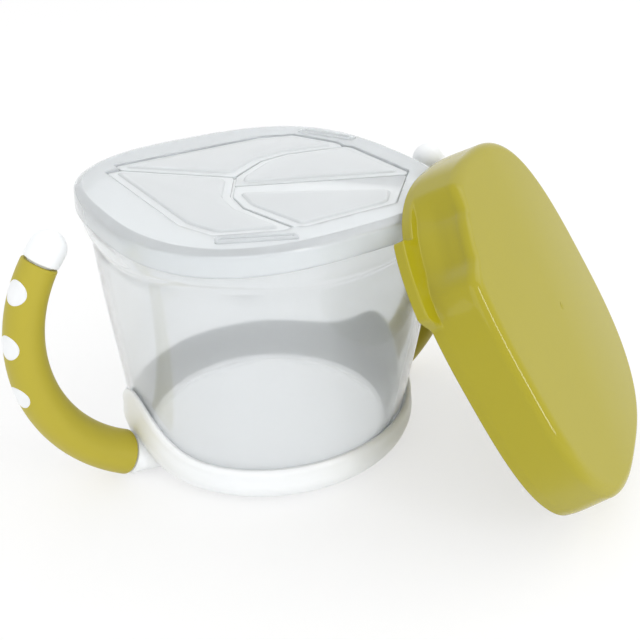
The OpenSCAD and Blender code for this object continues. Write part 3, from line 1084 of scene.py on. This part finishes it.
class SNACK_OT_stage(SnackOperator, Operator):
    """Build the floor, the room light, the lamps and the camera"""

    bl_idname = "snack.stage"
    bl_label = "Stage"

    def build(self, context):
        s = context.scene.snack_stage
        context.scene.view_settings.view_transform = "Standard"
        self.floor(context)
        self.room(context, s)
        self.lamp(context, "key_lamp", (0.55, -0.25, 0.75), (0.6, 0.6), s.key)
        self.lamp(context, "fill_lamp", (-0.6, -0.5, 0.45), (0.5, 0.5), s.fill)
        self.lamp(context, "edge_lamp", (0.19, -0.72, 0.34), (0.1, 0.6), s.edge)
        self.camera(context, s)

    def seen_directly(self, tree):
        """1 for the rays that show the background, and 0 for the light itself."""
        path = tree.nodes.new("ShaderNodeLightPath")
        seen = math_node(tree, "MAXIMUM", path.outputs["Is Camera Ray"], path.outputs["Is Glossy Ray"])
        return math_node(tree, "MAXIMUM", seen, path.outputs["Is Transmission Ray"])

    def floor(self, context):
        half = 3.0
        mesh = bpy.data.meshes.new("table_top")
        corners = [(-half, -half, 0), (half, -half, 0), (half, half, 0), (-half, half, 0)]
        mesh.from_pydata(corners, [], [(0, 1, 2, 3)])
        obj = bpy.data.objects.new("table_top", mesh)
        context.scene.collection.objects.link(obj)
        material = bpy.data.materials.new("pale_table")
        material.use_nodes = True
        tree = material.node_tree
        shader = tree.nodes["Principled BSDF"]
        shader.inputs["Base Color"].default_value = (0.97, 0.97, 0.97, 1)
        shader.inputs["Roughness"].default_value = 0.8
        glow = tree.nodes.new("ShaderNodeEmission")
        mix = tree.nodes.new("ShaderNodeMixShader")
        tree.links.new(math_node(tree, "MULTIPLY", self.seen_directly(tree), 0.62), mix.inputs[0])
        tree.links.new(shader.outputs[0], mix.inputs[1])
        tree.links.new(glow.outputs[0], mix.inputs[2])
        tree.links.new(mix.outputs[0], tree.nodes["Material Output"].inputs["Surface"])
        mesh.materials.append(material)

    def room(self, context, s):
        world = bpy.data.worlds.new("white_room")
        context.scene.world = world
        world.use_nodes = True
        tree = world.node_tree
        back = tree.nodes["Background"]
        back.inputs["Color"].default_value = (1, 1, 1, 1)
        seen = self.seen_directly(tree)
        tree.links.new(spread(tree, seen, s.sky, 1.0), back.inputs["Strength"])

    def lamp(self, context, name, place, size, power):
        data = bpy.data.lights.new(name, "AREA")
        data.shape = "RECTANGLE"
        data.size, data.size_y = size
        data.energy = power
        obj = bpy.data.objects.new(name, data)
        obj.location = place
        obj.rotation_euler = (Vector((0.02, -0.02, 0.04)) - Vector(place)).to_track_quat("-Z", "Y").to_euler()
        context.scene.collection.objects.link(obj)

    def camera(self, context, s):
        data = bpy.data.cameras.new("photo_camera")
        data.sensor_width = 36.0
        data.lens = s.lens
        obj = bpy.data.objects.new("photo_camera", data)
        context.scene.collection.objects.link(obj)
        pitch, roll, turn = 0.49684, -0.01422, 0.5744
        right = Vector((math.cos(turn), -math.sin(turn), 0))
        level_ahead = Vector((math.sin(turn), math.cos(turn), 0))
        ahead = level_ahead * math.cos(pitch) - Vector((0, 0, math.sin(pitch)))
        up = right.cross(ahead)
        across_x = right * math.cos(roll) + up * math.sin(roll)
        across_y = up * math.cos(roll) - right * math.sin(roll)
        matrix = Matrix((across_x, across_y, -ahead)).transposed().to_4x4()
        matrix.translation = Vector((-0.1172, -0.2122, 0.1673))
        obj.matrix_world = matrix
        context.scene.camera = obj


class SNACK_PT_panel(Panel):
    """Lists the pieces and their sizes"""

    bl_label = "Snack container"
    bl_idname = "SNACK_PT_panel"
    bl_space_type = "VIEW_3D"
    bl_region_type = "UI"
    bl_category = "Snack container"

    def draw(self, context):
        for operator in OPERATORS:
            self.layout.operator(operator.bl_idname)
        for name, group in GROUPS.items():
            box = self.layout.box()
            box.label(text=group.__doc__)
            for prop in group.__annotations__:
                box.prop(getattr(context.scene, name), prop)


OPERATORS = (SNACK_OT_cup, SNACK_OT_ring, SNACK_OT_grips, SNACK_OT_lid, SNACK_OT_cover, SNACK_OT_stage)


def register():
    for item in (*GROUPS.values(), *OPERATORS, SNACK_PT_panel):
        bpy.utils.register_class(item)
    for name, group in GROUPS.items():
        setattr(bpy.types.Scene, name, PointerProperty(type=group))


def unregister():
    for name in GROUPS:
        delattr(bpy.types.Scene, name)
    for item in (SNACK_PT_panel, *reversed(OPERATORS), *reversed(list(GROUPS.values()))):
        bpy.utils.unregister_class(item)


def main():
    register()
    for operator in OPERATORS:
        group, name = operator.bl_idname.split(".")
        getattr(getattr(bpy.ops, group), name)()


if __name__ == "__main__":
    main()
